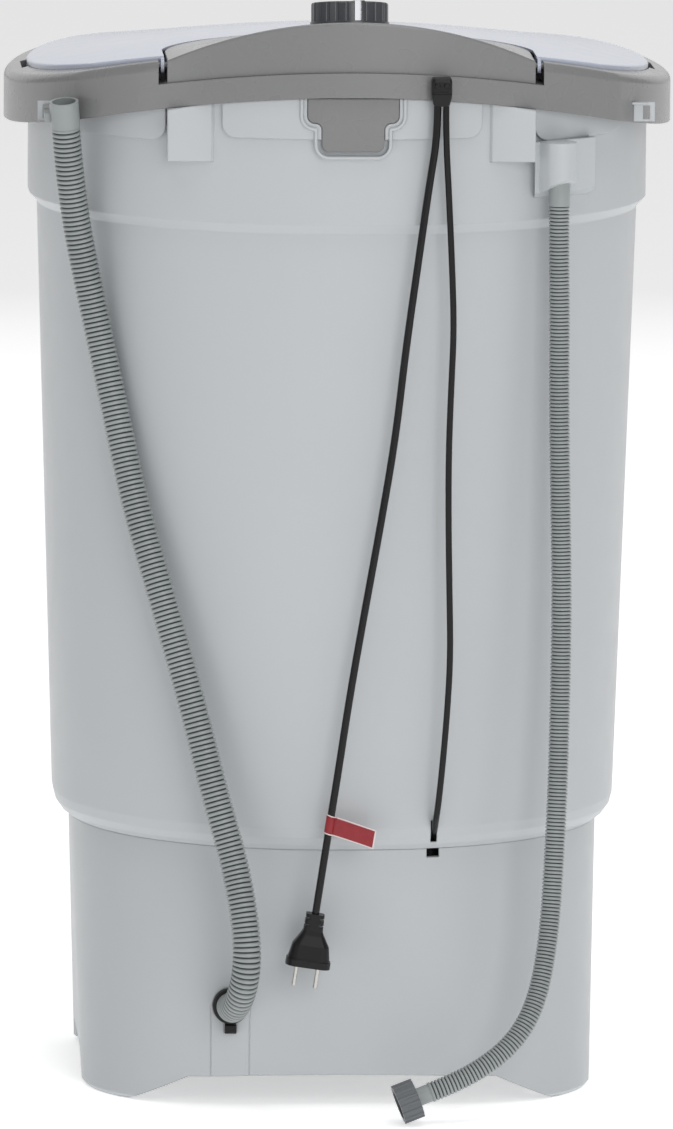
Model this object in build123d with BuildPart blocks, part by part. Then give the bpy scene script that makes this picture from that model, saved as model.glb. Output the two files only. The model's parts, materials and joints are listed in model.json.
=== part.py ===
from build123d import *
import os
from math import atan, atan2, cos, degrees, hypot, pi, radians, sin, sqrt, tan

# A top-loading washing machine with a plastic tub body, seen with its hoses and lead at the rear.
# Frame: +Z up, +Y towards the front, rear at -Y, origin on the floor under the middle. Millimetres.

os.makedirs("parts", exist_ok=True)

# Clearances
gap = 0.3
running_gap = 0.05
seam_gap = 0.4
outside = 320.0
cuff_wall = 2.2

# Tub body: rounded squares whose flats keep one length, joined from the seam up to the rim
wall = 3.0
flat_half = 19.0
depth_trim = 3.0
seam_z = 229.0
tub_foot_half = 235.0
tub_low_z = 250.0
tub_low_half = 249.0
tub_high_z = 775.0
tub_high_half = 265.0
collar_step = 9.0
collar_half = 273.0
floor_under_z = 258.0
floor_thickness = 4.0
floor_top_z = floor_under_z + floor_thickness

# Base
base_top_half = 234.0
base_foot_half = 225.0
base_foot_flat = 109.0
foot_chamfer = 4.0
arch_height = 27.0
arch_shoulder = 25.0
rear_arch_flat = 135.0
rear_arch_foot = 188.0
side_arch_flat = 70.0
side_arch_foot = 112.0
foot_radius = 30.0
foot_height = 60.0
foot_x = 200.0
foot_y = 150.0
lip_height = 7.0
boss_centre = 161.0
boss_radius = 12.0
boss_low_z = 208.0
boss_high_z = seam_z + lip_height

# Top cover: plan of four arcs and a deck that is arched at the rear and level at the front
rim_side = 295.0
rim_rear = 280.0
rim_corner_x = 237.0
rim_corner_y = 186.0
rim_corner_radius = 30.0
rim_corner_least = 4.0
rim_height = 41.0
rim_wall = 3.0
rim_round = 8.0
console_round = 1.8
lid_round = 2.2
deck_edge_z = 888.4
deck_reach = 300.0
deck_crown = {-300.0: 937.0, -150.0: 937.0, 0.0: 931.3, 150.0: 914.3, 300.0: 889.0}
lid_inset = 20.0
seat_depth = 8.0
mouth_inset = 45.0
mouth_corner = 45.0
lip_drop = 16.0
band_height = 21.5

# Console and its pocket
console_half = 160.0
console_front = -133.0
console_toe = 6.0
console_recess = 2.5
console_wall = 2.5
console_corner = 38.0
console_end_z = 923.0
console_crest_z = 963.5
console_nose_z = 938.0
console_nose_end_z = 925.0
crest_radius_x = 190.0
crest_y = -290.0
groove = 7.5
pocket_front = -126.0
ledge_width = 6.0

# Lid
lid_wall = 2.5
lid_rise_crown = 1.5
lid_rise_edge = 5.0
lid_notch_gap = 3.0
hinge_y = -222.0
hinge_z = 918.0
arm_width = 3.0
arm_gap = 2.3
arm_end_radius = 6.5
pin_radius = 2.5
scoop_length = 60.0
scoop_depth = 5.0

# Knob and timer
knob_y = -200.0
knob_radius = 34.5
knob_height = 20.0
knob_gap = 0.9
knob_flange = 3.0
scallops = 24
scallop_radius = 2.6
timer_shaft_radius = 3.0
timer_width = 54.0
timer_depth = 28.0
pointer_width = 9.0
pointer_angle = 12.0

# Drive
shaft_radius = 6.0
shaft_low_z = 104.0
shaft_high_z = 290.0
bush_radius = 15.0
bush_length = 22.0
bearing_radius = 25.0
bearing_low_z = 176.0
bearing_flange_radius = 46.0
bearing_flange = 6.0
pulley_z = 118.0
pulley_height = 18.0
drive_pulley_radius = 75.0
motor_pulley_radius = 25.0
belt_width = 9.0
belt_depth = 7.0
motor_offset = 105.0
motor_radius = 60.0
motor_height = 92.0
motor_band = 1.5
motor_shaft_radius = 6.0
bracket_z = 150.0
bracket_thickness = 3.0
post_radius = 8.0
pulsator_radius = 165.0
pulsator_gap = 6.0
screw_head_radius = 11.0
screw_head = 3.0
bolt_radius = 3.0
vane_height = 24.0

# Water
drain_x = -99.0
drain_z = 89.0
drain_hole_radius = 15.5
drain_hose_diameter = 25.0
drain_outlet_y = -150.0
slot_half = 17.0
inlet_hose_diameter = 18.0
inlet_low_z = 801.0
inlet_high_z = 853.0
inlet_shift = 8.0
inlet_plate_depth = 22.0
inlet_bulge_wall = 5.5
inlet_slope = 0.5
inlet_width = 86.0
nut_radius = 18.0
nut_length = 18.0

# Lead, plug and tag
lead_diameter = 6.6
motor_cable_diameter = 5.6
clamp_x = 76.0
clamp_width = 18.0
clamp_reach = 15.5
pin_spacing = 19.0
plug_pin_radius = 2.0
plug_pin_length = 19.0
plug_pin_bevel = 0.7
plug_root = 12.0
plug_root_radius = 2.6
plug_length = 47.0
plug_flange = 6.0

# Slots across the plug's neck: distance down, distance between the pair's middles, and depth
neck_core = 4.0
neck_slots = [(3, 18, 20), (9, 18, 20)]

# The plug's distances down from its neck, with its width, depth and corner radius there
PLUG_SECTIONS = [
    (0, 16, 12, 3),
    (15, 17, 13, 3),
    (19, 21, 14, 4),
    (28, 32, 18, 6),
    (plug_length - plug_flange, 37, 21, 8),
]

# Rear tongue under the band, with its bead, and the pads and lugs round it
tongue_top_z = max(deck_crown.values()) - rim_height - 1.5
tongue_height = 46.0
tongue_head_height = 21.0
tongue_head_width = 79.0
tongue_stem_width = 54.0
tongue_corner = 6.0
tongue_fit = 0.6
tongue_skin = 1.0
bead_gap = 4.0
bead_width = 2.8
bead_height = 2.0
pad_proud = 4.0
centre_pad = (-113.0, 113.0, 859.0)
side_pad = (161.0, 243.0, inlet_high_z)
pad_corner = 12.0
lug_inner = 122.0
lug_outer = 160.0
lug_low_z = 837.0
lug_slant = 11.0
lug_proud = 11.0
lug_face_y = -(collar_half - depth_trim) + 30.0 - lug_proud

# Openings and fixings of the tub and the base
cable_slot = (77.5, 5.5, 236.0, 256.0)
strainer_radius = 22.0
bearing_hole_radius = 20.0
base_screw_radius = 2.0
base_screw_bite = 16.0
base_hole_y = -(base_foot_half + 0.8)
latch_z = 69.0
capacitor_place = (20.0, 120.0)

# Curve of the wall's foot, as shares of its height and of its spread
FOOT_CURVE = [(0.24, 0.48), (0.58, 0.84)]

# Places that follow from the sizes above
pocket_half = console_half + groove
mouth_rear = pocket_front + 14.0
console_tilt = atan((console_crest_z - console_nose_z) / (console_front + console_toe - crest_y))
knob_axis = Vector(0, sin(console_tilt), cos(console_tilt))
inlet_bore_radius = 8.0
inlet_bore_z = inlet_high_z - 16.0

# Clamp, tag, clips and coupling nut
clamp_low_z = 889.0
clamp_high_z = clamp_low_z + 25.0
tag_width = 41.0
tag_height = 17.0
tag_thickness = 0.8
tag_down = 37.0
clip_y = -163.5
clip_x = 259.0
clip_z = 871.5
clip_half = 8.5
clip_plate = 2.6
clip_slot = (0.5, 6.5)
ear_gap = 0.8
tail_length = 12.0
nut_ribs = 16
thread_radius = 12.7
belt_height = 6.0

# Routes of the free cords, chosen by hand
POWER_CORD = [
    (72.5, -279, 889), (72.5, -279, 862), (66, -278, 820), (57, -277, 752), (47, -275, 676), (39, -274, 600),
    (27, -272, 524), (12.5, -271, 440), (1, -269.2, 370), (-8.6, -268.2, 302), (-20.9, -266.1, 220),
    (-27, -265, 178),
]
MOTOR_CABLE = [
    (80, -279, 889), (80, -279, 862), (83, -276, 815), (86.5, -274, 752), (89, -272, 694), (87, -270, 640),
    (85.5, -268, 582), (86, -267, 522), (87.5, -265.5, 462), (89, -264.5, 404), (86.5, -262.5, 352),
    (83, -260.5, 306), (80, -256, 272), (78.5, -247, 257), (78, -234, 245), (78, -214, 234),
    (80.5, -191, 222), (86, -170, 214),
]
DRAIN_HOSE = [
    (-99, -222, 89), (-99, -246, 89), (-95, -264, 97), (-91, -277, 111), (-88, -284, 130), (-87.5, -285, 152),
    (-91, -279, 185), (-99, -268, 226), (-116, -258, 284), (-135, -246, 360), (-160, -230, 446),
    (-186, -210, 534), (-204, -192, 620), (-219, -181, 690), (-234, -181, 760), (-243, -188, 820),
    (-246.5, -195.5, 861),
]
INLET_HOSE = [
    (182, -234.5, 797), (182, -234.5, 760), (183.5, -234, 700), (183.5, -235, 627), (185.5, -237, 539),
    (187.5, -240, 451), (186.5, -244, 363), (185, -250, 291), (181.5, -258, 218), (178.5, -264, 172),
    (174, -272, 138), (167, -281, 107), (156, -290, 83), (139, -298, 63), (116, -305, 47), (92, -309, 35),
    (72, -311, 27.5),
]

# The inlet stands over the hose's upper end, and the plug hangs in line with the lead's last run
inlet_angle = degrees(atan2(INLET_HOSE[0][1], INLET_HOSE[0][0]))
inlet_radius = hypot(INLET_HOSE[0][0], INLET_HOSE[0][1])
nut_axis = (Vector(INLET_HOSE[-1]) - Vector(INLET_HOSE[-2])).normalized()
plug_axis = (Vector(POWER_CORD[-1]) - Vector(POWER_CORD[-2])).normalized()
plug_across = plug_axis.cross(Vector(0, 1, 0)).normalized()
LOW = (Align.CENTER, Align.CENTER, Align.MIN)


def squared(half, flat=flat_half):
    """Sketch of a rounded square, a little shallower front to back than it is wide."""
    with BuildSketch() as plan:
        RectangleRounded(2 * half, 2 * (half - depth_trim), half - flat)
    return plan.sketch


def stack(levels, flat=flat_half):
    """Solid through rounded squares, given as (height, half width) from the bottom up."""
    with BuildPart() as body:
        for height, half in levels:
            with BuildSketch(Plane.XY.offset(height)):
                add(squared(half, flat))
        loft(ruled=True)
    return body.part


def arc_radius(half_chord, sagitta):
    """Radius of an arc from half its chord and its rise."""
    return (half_chord**2 + sagitta**2) / (2 * sagitta)


def rim_plan(inset):
    """Plan of the top cover, drawn in by inset: what four large discs have in common."""
    rear_radius = arc_radius(rim_corner_x, rim_rear - rim_corner_y)
    side_radius = arc_radius(rim_corner_y, rim_side - rim_corner_x)
    with BuildSketch() as plan:
        with Locations((0, rear_radius - rim_rear)):
            Circle(rear_radius - inset)
        with Locations((0, rim_rear - rear_radius)):
            Circle(rear_radius - inset, mode=Mode.INTERSECT)
        for centre_x, turn in ((rim_side - side_radius, 180), (side_radius - rim_side, 0)):
            with Locations(Location((centre_x, 0, 0), (0, 0, turn))):
                Circle(side_radius - inset, mode=Mode.INTERSECT)
        fillet(plan.vertices(), max(rim_corner_radius - inset, rim_corner_least))
    return plan.sketch


def column(plan, low, high):
    """Upright solid over a plan sketch."""
    with BuildPart() as body:
        with BuildSketch(Plane.XY.offset(low)):
            add(plan)
        extrude(amount=high - low)
    return body.part


def under_deck(rise_crown, rise_edge):
    """Everything below the deck surface, raised by these amounts at its crown and at its edges."""
    with BuildPart() as body:
        for station, crown in deck_crown.items():
            with BuildSketch(Plane.XZ.offset(-station)):
                with BuildLine():
                    edge_z = deck_edge_z + rise_edge
                    reach = deck_reach
                    ThreePointArc((-reach, edge_z), (0, crown + rise_crown), (reach, edge_z))
                    Polyline((reach, edge_z), (reach, -10), (-reach, -10), (-reach, edge_z))
                make_face()
        loft()
    return body.part


def block(x_range, y_range, z_range):
    """Plain box between limits."""
    with BuildPart() as body:
        with Locations(((x_range[0] + x_range[1]) / 2, (y_range[0] + y_range[1]) / 2, z_range[0])):
            Box(x_range[1] - x_range[0], y_range[1] - y_range[0], z_range[1] - z_range[0],
                align=(Align.CENTER, Align.CENTER, Align.MIN))
    return body.part


def rod(start, end, radius):
    """Round bar from one point to another."""
    run = Vector(end) - Vector(start)
    with BuildPart() as body:
        with BuildSketch(Plane(origin=start, z_dir=run)):
            Circle(radius)
        extrude(amount=run.length)
    return body.part


def route_radii(points):
    """Arc radius at each inner point: 0.45 of the shorter run over the tangent of half the turn."""
    radii = []
    for before, here, after in zip(points, points[1:], points[2:]):
        first = Vector(here) - Vector(before)
        second = Vector(after) - Vector(here)
        turn = radians(first.get_angle(second))
        radii.append(0.45 * min(first.length, second.length) / tan(turn / 2))
    return radii


def tube(name, points, diameter):
    """Plain tube along straight runs joined by tangent arcs."""
    radii = route_radii(points)
    with BuildPart() as body:
        with BuildLine() as path:
            FilletPolyline(*points, radius=radii)
        with BuildSketch(Plane(origin=path.line @ 0, z_dir=path.line % 0)):
            Circle(diameter / 2)
        sweep()
    ideal = pi * diameter**2 / 4 * path.wires()[0].length
    print(name, "length", round(path.wires()[0].length), "radii", [round(r) for r in radii],
          "volume ratio", round(body.part.volume / ideal, 4))
    return body.part


def tub_levels(inset):
    """Heights and half widths of the tub body's wall, from the seam to the collar's top."""
    turn_z = tub_low_z - seam_z
    turn_half = tub_low_half - tub_foot_half
    return [
        (seam_z, tub_foot_half - inset),
        *((seam_z + up * turn_z, tub_foot_half + out * turn_half - inset) for up, out in FOOT_CURVE),
        (tub_low_z, tub_low_half - inset),
        (tub_high_z, tub_high_half - inset),
        (tub_high_z + collar_step, collar_half - inset),
        (max(deck_crown.values()) + 20, collar_half - inset),
    ]


def tongue_plan(grow):
    """The rear tongue's T outline in the XZ plane, enlarged by grow."""
    with BuildSketch() as plan:
        with Locations((0, tongue_top_z - tongue_head_height / 2)):
            Rectangle(tongue_head_width, tongue_head_height)
        with Locations((0, tongue_top_z - tongue_height / 2)):
            Rectangle(tongue_stem_width, tongue_height)
        lower = plan.vertices().filter_by(lambda corner: corner.Y < tongue_top_z - 1)
        fillet(lower, tongue_corner)
        if grow:
            offset(amount=grow)
    return plan.sketch


def across(plan, reach):
    """Solid from an XZ sketch, running from the XZ plane out to the rear."""
    with BuildPart() as body:
        with BuildSketch(Plane.XZ):
            add(plan)
        extrude(amount=reach)
    return body.part


def collar_skin(proud):
    """The collar's outer surface moved out by proud, as a solid."""
    half = collar_half + proud
    return stack([(lug_low_z - 60, half), (max(deck_crown.values()) + 20, half)])


def pad(x_low, x_high, z_low):
    """Raised pad on the collar, with rounded lower corners, running up under the rim."""
    top = max(deck_crown.values())
    with BuildPart() as body:
        with BuildSketch(Plane.XZ):
            with Locations(((x_low + x_high) / 2, (z_low + top) / 2)):
                RectangleRounded(x_high - x_low, top - z_low, pad_corner)
        extrude(amount=rim_rear + 40)
        add(collar_skin(pad_proud), mode=Mode.INTERSECT)
    return body.part


def lug(side):
    """Spacer lug on the collar, with its inner flank slanted back to the wall."""
    top = max(deck_crown.values())
    face = lug_face_y
    root = -rim_corner_y
    with BuildPart() as body:
        with BuildSketch(Plane.XY.offset(lug_low_z)):
            with BuildLine():
                Polyline(
                    (side * lug_outer, root), (side * lug_outer, face), (side * lug_inner, face),
                    (side * (lug_inner - lug_slant), face + lug_proud),
                    (side * (lug_inner - lug_slant), root),
                    close=True,
                )
            make_face()
        extrude(amount=top - lug_low_z)
    return body.part


def make_tub():
    top_z = max(deck_crown.values())
    pocket = pocket_half + rim_wall + 2
    with BuildPart() as tub:
        add(stack(tub_levels(0)))
        add(pad(*centre_pad))
        for side in (-1, 1):
            x_pair = sorted((side * side_pad[0], side * side_pad[1]))
            add(pad(x_pair[0], x_pair[1], side_pad[2]))
            add(lug(side))
        with BuildPart(mode=Mode.PRIVATE) as bead:
            add(across(tongue_plan(bead_gap + bead_width), rim_rear + 40))
            add(across(tongue_plan(bead_gap), rim_rear + 60), mode=Mode.SUBTRACT)
            add(collar_skin(pad_proud + bead_height), mode=Mode.INTERSECT)
            add(block((-200, 200), (-400, 0), (700, tongue_top_z)), mode=Mode.INTERSECT)
        add(bead.part)
        with BuildPart(mode=Mode.PRIVATE) as recess:
            add(across(tongue_plan(tongue_fit), rim_rear + 60))
            add(collar_skin(tongue_skin - 0.2), mode=Mode.SUBTRACT)
        add(recess.part, mode=Mode.SUBTRACT)
        inner = [(floor_top_z, tub_low_half + 0.4 - wall)] + tub_levels(wall)[4:]
        add(stack(inner), mode=Mode.SUBTRACT)
        skirt = tub_levels(wall)[:4] + [(floor_under_z, tub_low_half + 0.2 - wall)]
        add(stack(skirt), mode=Mode.SUBTRACT)
        add(under_deck(-seat_depth - rim_wall - gap, -seat_depth - rim_wall - gap), mode=Mode.INTERSECT)
        with BuildPart(mode=Mode.PRIVATE) as relief:
            add(block((-pocket, pocket), (-320, pocket_front + 6), (800, top_z + 20)))
            add(under_deck(-rim_height - gap, -rim_height - gap), mode=Mode.SUBTRACT)
        add(relief.part, mode=Mode.SUBTRACT)
        with Locations((0, 0, floor_under_z - 1)):
            Cylinder(bearing_hole_radius, floor_thickness + 2, align=LOW, mode=Mode.SUBTRACT)
        with Locations((drain_x, drain_outlet_y, floor_under_z - 1)):
            Cylinder(strainer_radius - 4, floor_thickness + 2, align=LOW, mode=Mode.SUBTRACT)
        x_mid, slot_width, z_low, z_high = cable_slot
        add(block((x_mid - slot_width / 2, x_mid + slot_width / 2), (-270, -200), (z_low, z_high)),
            mode=Mode.SUBTRACT)
        with Locations(*screw_places(boss_high_z)):
            Cylinder(boss_radius - wall, floor_under_z - boss_high_z, align=LOW)
            Cylinder(base_screw_radius, base_screw_bite, align=LOW, mode=Mode.SUBTRACT)
        add(inlet_bore(), mode=Mode.SUBTRACT)
    return tub


def inlet_point(radius, height):
    """Point on the inlet's upright plane at a distance from the middle."""
    return (radius * cos(radians(inlet_angle)), radius * sin(radians(inlet_angle)), height)


def inlet_bore():
    start = inlet_point(collar_half - 30, inlet_bore_z)
    return rod(start, inlet_point(inlet_radius, inlet_bore_z), inlet_bore_radius)


def base_shell():
    """Skirt of the base, open at the top and underneath."""
    foot = (0, base_foot_half - foot_chamfer)
    outer = [foot, (foot_chamfer, base_foot_half), (seam_z - gap, base_top_half)]
    inner = [(-1, base_foot_half - wall - 0.3), (seam_z + 1, base_top_half - wall)]
    return blend_stack(outer), blend_stack(inner)


def blend_stack(levels):
    """Stack whose flats shorten from the foot to the seam as its corners grow rounder."""
    with BuildPart() as body:
        for height, half in levels:
            share = min(max(height / seam_z, 0), 1)
            flat = base_foot_flat + (flat_half - base_foot_flat) * share
            with BuildSketch(Plane.XY.offset(height)):
                RectangleRounded(2 * half, 2 * (half - depth_trim), half - flat)
        loft(ruled=True)
    return body.part


def arch_cutter(plane, foot_half, flat_half_width):
    """Long arch under one pair of sides, between the feet."""
    with BuildPart() as body:
        with BuildSketch(plane):
            with BuildLine():
                Polyline((flat_half_width, arch_shoulder), (foot_half, 0), (foot_half, -5),
                         (-foot_half, -5), (-foot_half, 0), (-flat_half_width, arch_shoulder))
                ThreePointArc((-flat_half_width, arch_shoulder), (0, arch_height),
                              (flat_half_width, arch_shoulder))
            make_face()
        extrude(amount=base_top_half + 40, both=True)
    return body.part


def slot_box(half, low, high):
    return block((drain_x - half, drain_x + half), (-base_top_half - 20, -base_foot_half + 60), (low, high))


def screw_places(height):
    """Places of the four screws that hold the tub on the base."""
    return [(x_sign * boss_centre, y_sign * boss_centre, height) for x_sign in (-1, 1) for y_sign in (-1, 1)]


def base_lip():
    """Lip that stands up inside the tub's skirt, with the four screw bosses."""
    with BuildPart() as lip:
        levels = [(boss_low_z, base_top_half - wall), (seam_z + lip_height, tub_foot_half - wall - seam_gap)]
        add(stack(levels))
        inner_half = base_top_half - 2 * wall
        with BuildPart(mode=Mode.PRIVATE) as hollow:
            add(stack([(boss_low_z - 1, inner_half), (seam_z + lip_height + 1, inner_half)]))
            with Locations(*screw_places(boss_low_z)):
                Cylinder(boss_radius, boss_high_z - boss_low_z, align=LOW, mode=Mode.SUBTRACT)
        add(hollow.part, mode=Mode.SUBTRACT)
    return lip.part


def make_base():
    outer, inner = base_shell()
    with BuildPart() as base:
        add(outer)
        add(inner, mode=Mode.SUBTRACT)
        with BuildPart(mode=Mode.PRIVATE) as legs:
            for x_sign in (-1, 1):
                for y_sign in (-1, 1):
                    with Locations((x_sign * foot_x, y_sign * foot_y, 0)):
                        Cylinder(foot_radius, foot_height, align=LOW)
            add(outer, mode=Mode.INTERSECT)
        add(legs.part)
        add(base_lip())
        with Locations(*screw_places(boss_low_z - 1)):
            Cylinder(base_screw_radius + gap, boss_high_z, align=LOW, mode=Mode.SUBTRACT)
        add(arch_cutter(Plane.XZ, rear_arch_foot, rear_arch_flat), mode=Mode.SUBTRACT)
        add(arch_cutter(Plane.YZ, side_arch_foot, side_arch_flat), mode=Mode.SUBTRACT)
        add(slot_box(slot_half, -5, drain_z), mode=Mode.SUBTRACT)
        add(rod((drain_x, -base_top_half - 20, drain_z), (drain_x, -base_foot_half + 60, drain_z),
                drain_hole_radius), mode=Mode.SUBTRACT)
        x_mid, slot_width, z_low, z_high = cable_slot
        x_span = (x_mid - slot_width, x_mid + slot_width)
        add(block(x_span, (-base_top_half - 5, -190), (seam_z, z_high)), mode=Mode.SUBTRACT)
        add(block(x_span, (wall + depth_trim - base_top_half, -190), (seam_z - 8, z_high)), mode=Mode.SUBTRACT)
    return base


def make_slot_insert():
    outer, inner = base_shell()
    with BuildPart() as insert:
        add(outer)
        add(inner, mode=Mode.SUBTRACT)
        add(slot_box(slot_half - gap, -5, drain_z), mode=Mode.INTERSECT)
        add(arch_cutter(Plane.XZ, rear_arch_foot, rear_arch_flat), mode=Mode.SUBTRACT)
        add(rod((drain_x, -base_top_half - 20, drain_z), (drain_x, -base_foot_half + 60, drain_z),
                drain_hole_radius), mode=Mode.SUBTRACT)
        add(insert_latch_solid(gap), mode=Mode.SUBTRACT)
    return insert


def insert_latch_solid(grow):
    return block((drain_x - 5 - grow, drain_x + 5 + grow), (base_hole_y - 4, base_hole_y + 8),
                 (latch_z - 4 - grow, latch_z + 4 + grow))


def make_insert_latch():
    with BuildPart() as latch:
        add(insert_latch_solid(0))
        chamfer(latch.faces().sort_by(Axis.Y)[0].edges(), 1)
    return latch


def make_grommet():
    with BuildPart() as grommet:
        inner_end = (drain_x, DRAIN_HOSE[0][1] - gap, drain_z)
        add(rod((drain_x, base_hole_y - 3, drain_z), inner_end, drain_hole_radius))
        add(rod((drain_x, base_hole_y - 4, drain_z), (drain_x, base_hole_y + 10, drain_z),
                drain_hose_diameter / 2 + running_gap), mode=Mode.SUBTRACT)
    return grommet


def hinge_rod(side, inner, outer, radius):
    """Bar on the lid's hinge axis, between two distances from the middle on one side."""
    return rod((side * inner, hinge_y, hinge_z), (side * outer, hinge_y, hinge_z), radius)


def make_ring():
    """Top cover: rim wall, shelf, recessed seat for the lid, mouth with a lip, and the console's pocket."""
    low = deck_edge_z - rim_height - 20
    top = max(deck_crown.values()) + 20
    seat_plate = -seat_depth - rim_wall
    well_half = pocket_half - groove - 5
    with BuildPart() as ring:
        add(column(rim_plan(0), low, top))
        add(under_deck(0, 0), mode=Mode.INTERSECT)
        fillet(ring.faces().sort_by(Axis.Z)[-1].edges(), rim_round)
        add(under_deck(-rim_height, -rim_height), mode=Mode.SUBTRACT)
        with BuildPart(mode=Mode.PRIVATE) as inside:
            add(column(rim_plan(rim_wall), low - 5, top))
            add(under_deck(seat_plate, seat_plate), mode=Mode.INTERSECT)
            walled = pocket_half + rim_wall
            add(block((-walled, walled), (-rim_rear - 5, pocket_front + rim_wall), (low - 10, top)),
                mode=Mode.SUBTRACT)
        add(inside.part, mode=Mode.SUBTRACT)
        with BuildPart(mode=Mode.PRIVATE) as seat:
            add(column(rim_plan(lid_inset - 1), low, top + 10))
            add(under_deck(-seat_depth, -seat_depth), mode=Mode.SUBTRACT)
        add(seat.part, mode=Mode.SUBTRACT)
        with BuildPart(mode=Mode.PRIVATE) as pocket:
            add(block((-pocket_half, pocket_half), (-rim_rear - 20, pocket_front), (low, top + 20)))
            add(under_deck(-rim_height + band_height, -rim_height + band_height), mode=Mode.SUBTRACT)
        add(pocket.part, mode=Mode.SUBTRACT)
        with BuildPart(mode=Mode.PRIVATE) as well:
            add(column(rim_plan(ledge_width), low, top + 10))
            add(block((-well_half, well_half), (-rim_rear - 20, console_front - 5), (low, top + 20)),
                mode=Mode.INTERSECT)
            add(under_deck(-rim_height + rim_wall, -rim_height + rim_wall), mode=Mode.SUBTRACT)
        add(well.part, mode=Mode.SUBTRACT)
        add(column(mouth_plan(0), low - 30, top + 20), mode=Mode.SUBTRACT)
        with BuildPart(mode=Mode.PRIVATE) as lip:
            add(column(mouth_plan(0), low, top))
            add(column(mouth_plan(rim_wall), low - 5, top + 5), mode=Mode.SUBTRACT)
            add(under_deck(-seat_depth, -seat_depth), mode=Mode.INTERSECT)
            add(under_deck(-seat_depth - lip_drop, -seat_depth - lip_drop), mode=Mode.SUBTRACT)
        add(lip.part)
        for side in (-1, 1):
            with BuildPart(mode=Mode.PRIVATE) as scoop:
                edge_x = rim_side - lid_inset
                x_pair = sorted((side * (edge_x - 4), side * (edge_x + scoop_depth)))
                add(block(x_pair, (-scoop_length / 2, scoop_length / 2), (low, top)))
                add(under_deck(-seat_depth, -seat_depth), mode=Mode.SUBTRACT)
            add(scoop.part, mode=Mode.SUBTRACT)
        for side in (-1, 1):
            add(hinge_rod(side, pocket_half - 1, pocket_half + rim_wall, pin_radius), mode=Mode.SUBTRACT)
        add(clamp_neck(gap), mode=Mode.SUBTRACT)
    return ring


def mouth_plan(inset):
    """Plan of the mouth: the rim's plan drawn in, and stopped in front of the console's pocket."""
    with BuildSketch() as plan:
        add(rim_plan(mouth_inset + inset))
        with Locations((0, mouth_rear + inset + rim_rear)):
            Rectangle(3 * rim_side, 2 * rim_rear, mode=Mode.INTERSECT)
        fillet(plan.vertices().group_by(Axis.Y)[0], mouth_corner - inset)
    return plan.sketch


def console_plan(inset):
    """Plan of the console: the rim's rear arc, straight sides and rounded front corners."""
    with BuildSketch() as box_plan:
        front = console_front - inset
        with Locations((0, (front - outside) / 2)):
            Rectangle(2 * (console_half - inset), front + outside)
        fillet(box_plan.vertices().group_by(Axis.Y)[-1], console_corner - inset)
    with BuildSketch() as plan:
        add(rim_plan(console_recess + inset))
        add(box_plan.sketch, mode=Mode.INTERSECT)
    return plan.sketch


def console_bulk(lowered):
    """Everything under the console's top, which falls from an arched crest to the nose."""
    crest_height = (console_crest_z - console_end_z) / (1 - sqrt(1 - (console_half / crest_radius_x) ** 2))
    end_angle = degrees(atan(sqrt(1 - (console_half / crest_radius_x) ** 2) * crest_radius_x / console_half))
    floor = deck_edge_z - rim_height
    half = console_half
    with BuildPart() as body:
        with BuildSketch(Plane.XZ.offset(-crest_y)):
            with BuildLine():
                crest = EllipticalCenterArc((0, console_crest_z - crest_height - lowered), crest_radius_x,
                                            crest_height, start_angle=end_angle, arc_size=180 - 2 * end_angle)
                Polyline(crest @ 0, (half, floor), (-half, floor), crest @ 1)
            make_face()
        with BuildSketch(Plane.XZ.offset(-console_front - console_toe)):
            with BuildLine():
                end_z = console_nose_end_z - lowered
                ThreePointArc((half, end_z), (0, console_nose_z - lowered), (-half, end_z))
                Polyline((half, end_z), (half, floor), (-half, floor), (-half, end_z))
            make_face()
        loft(ruled=True)
    return body.part


def console_top(y):
    """Height of the console's top on its centre line."""
    share = (y - crest_y) / (console_front + console_toe - crest_y)
    return console_crest_z + (console_nose_z - console_crest_z) * share


def along_knob(height):
    """Point on the knob's axis at a height above the console's top."""
    return Vector(0, knob_y, console_top(knob_y)) + knob_axis * height


def make_console():
    low = deck_edge_z - rim_height
    top = console_crest_z + 20
    with BuildPart() as console:
        add(column(console_plan(0), low, top))
        add(console_bulk(0), mode=Mode.INTERSECT)
        fillet(console.faces().sort_by(Axis.Z)[-1].edges(), console_round)
        with BuildPart(mode=Mode.PRIVATE) as inside:
            add(column(console_plan(console_wall), low - 5, top))
            add(console_bulk(console_wall), mode=Mode.INTERSECT)
        add(inside.part, mode=Mode.SUBTRACT)
        ledge = -rim_height + band_height
        add(under_deck(ledge, ledge), mode=Mode.SUBTRACT)
        add(rod(along_knob(-20), along_knob(20), timer_shaft_radius + 2), mode=Mode.SUBTRACT)
        for side in (-1, 1):
            add(hinge_rod(side, console_half - console_wall - 1, console_half + 1, pin_radius), mode=Mode.SUBTRACT)
    return console


def lid_notch(grow):
    """Plan of the notch that the lid leaves for the console."""
    half = console_half + grow
    front = console_front + lid_notch_gap
    with BuildSketch() as plan:
        with Locations((0, front - rim_rear)):
            Rectangle(2 * half, 2 * rim_rear)
        fillet(plan.vertices().group_by(Axis.Y)[-1], console_corner + lid_notch_gap)
    return plan.sketch


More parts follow.
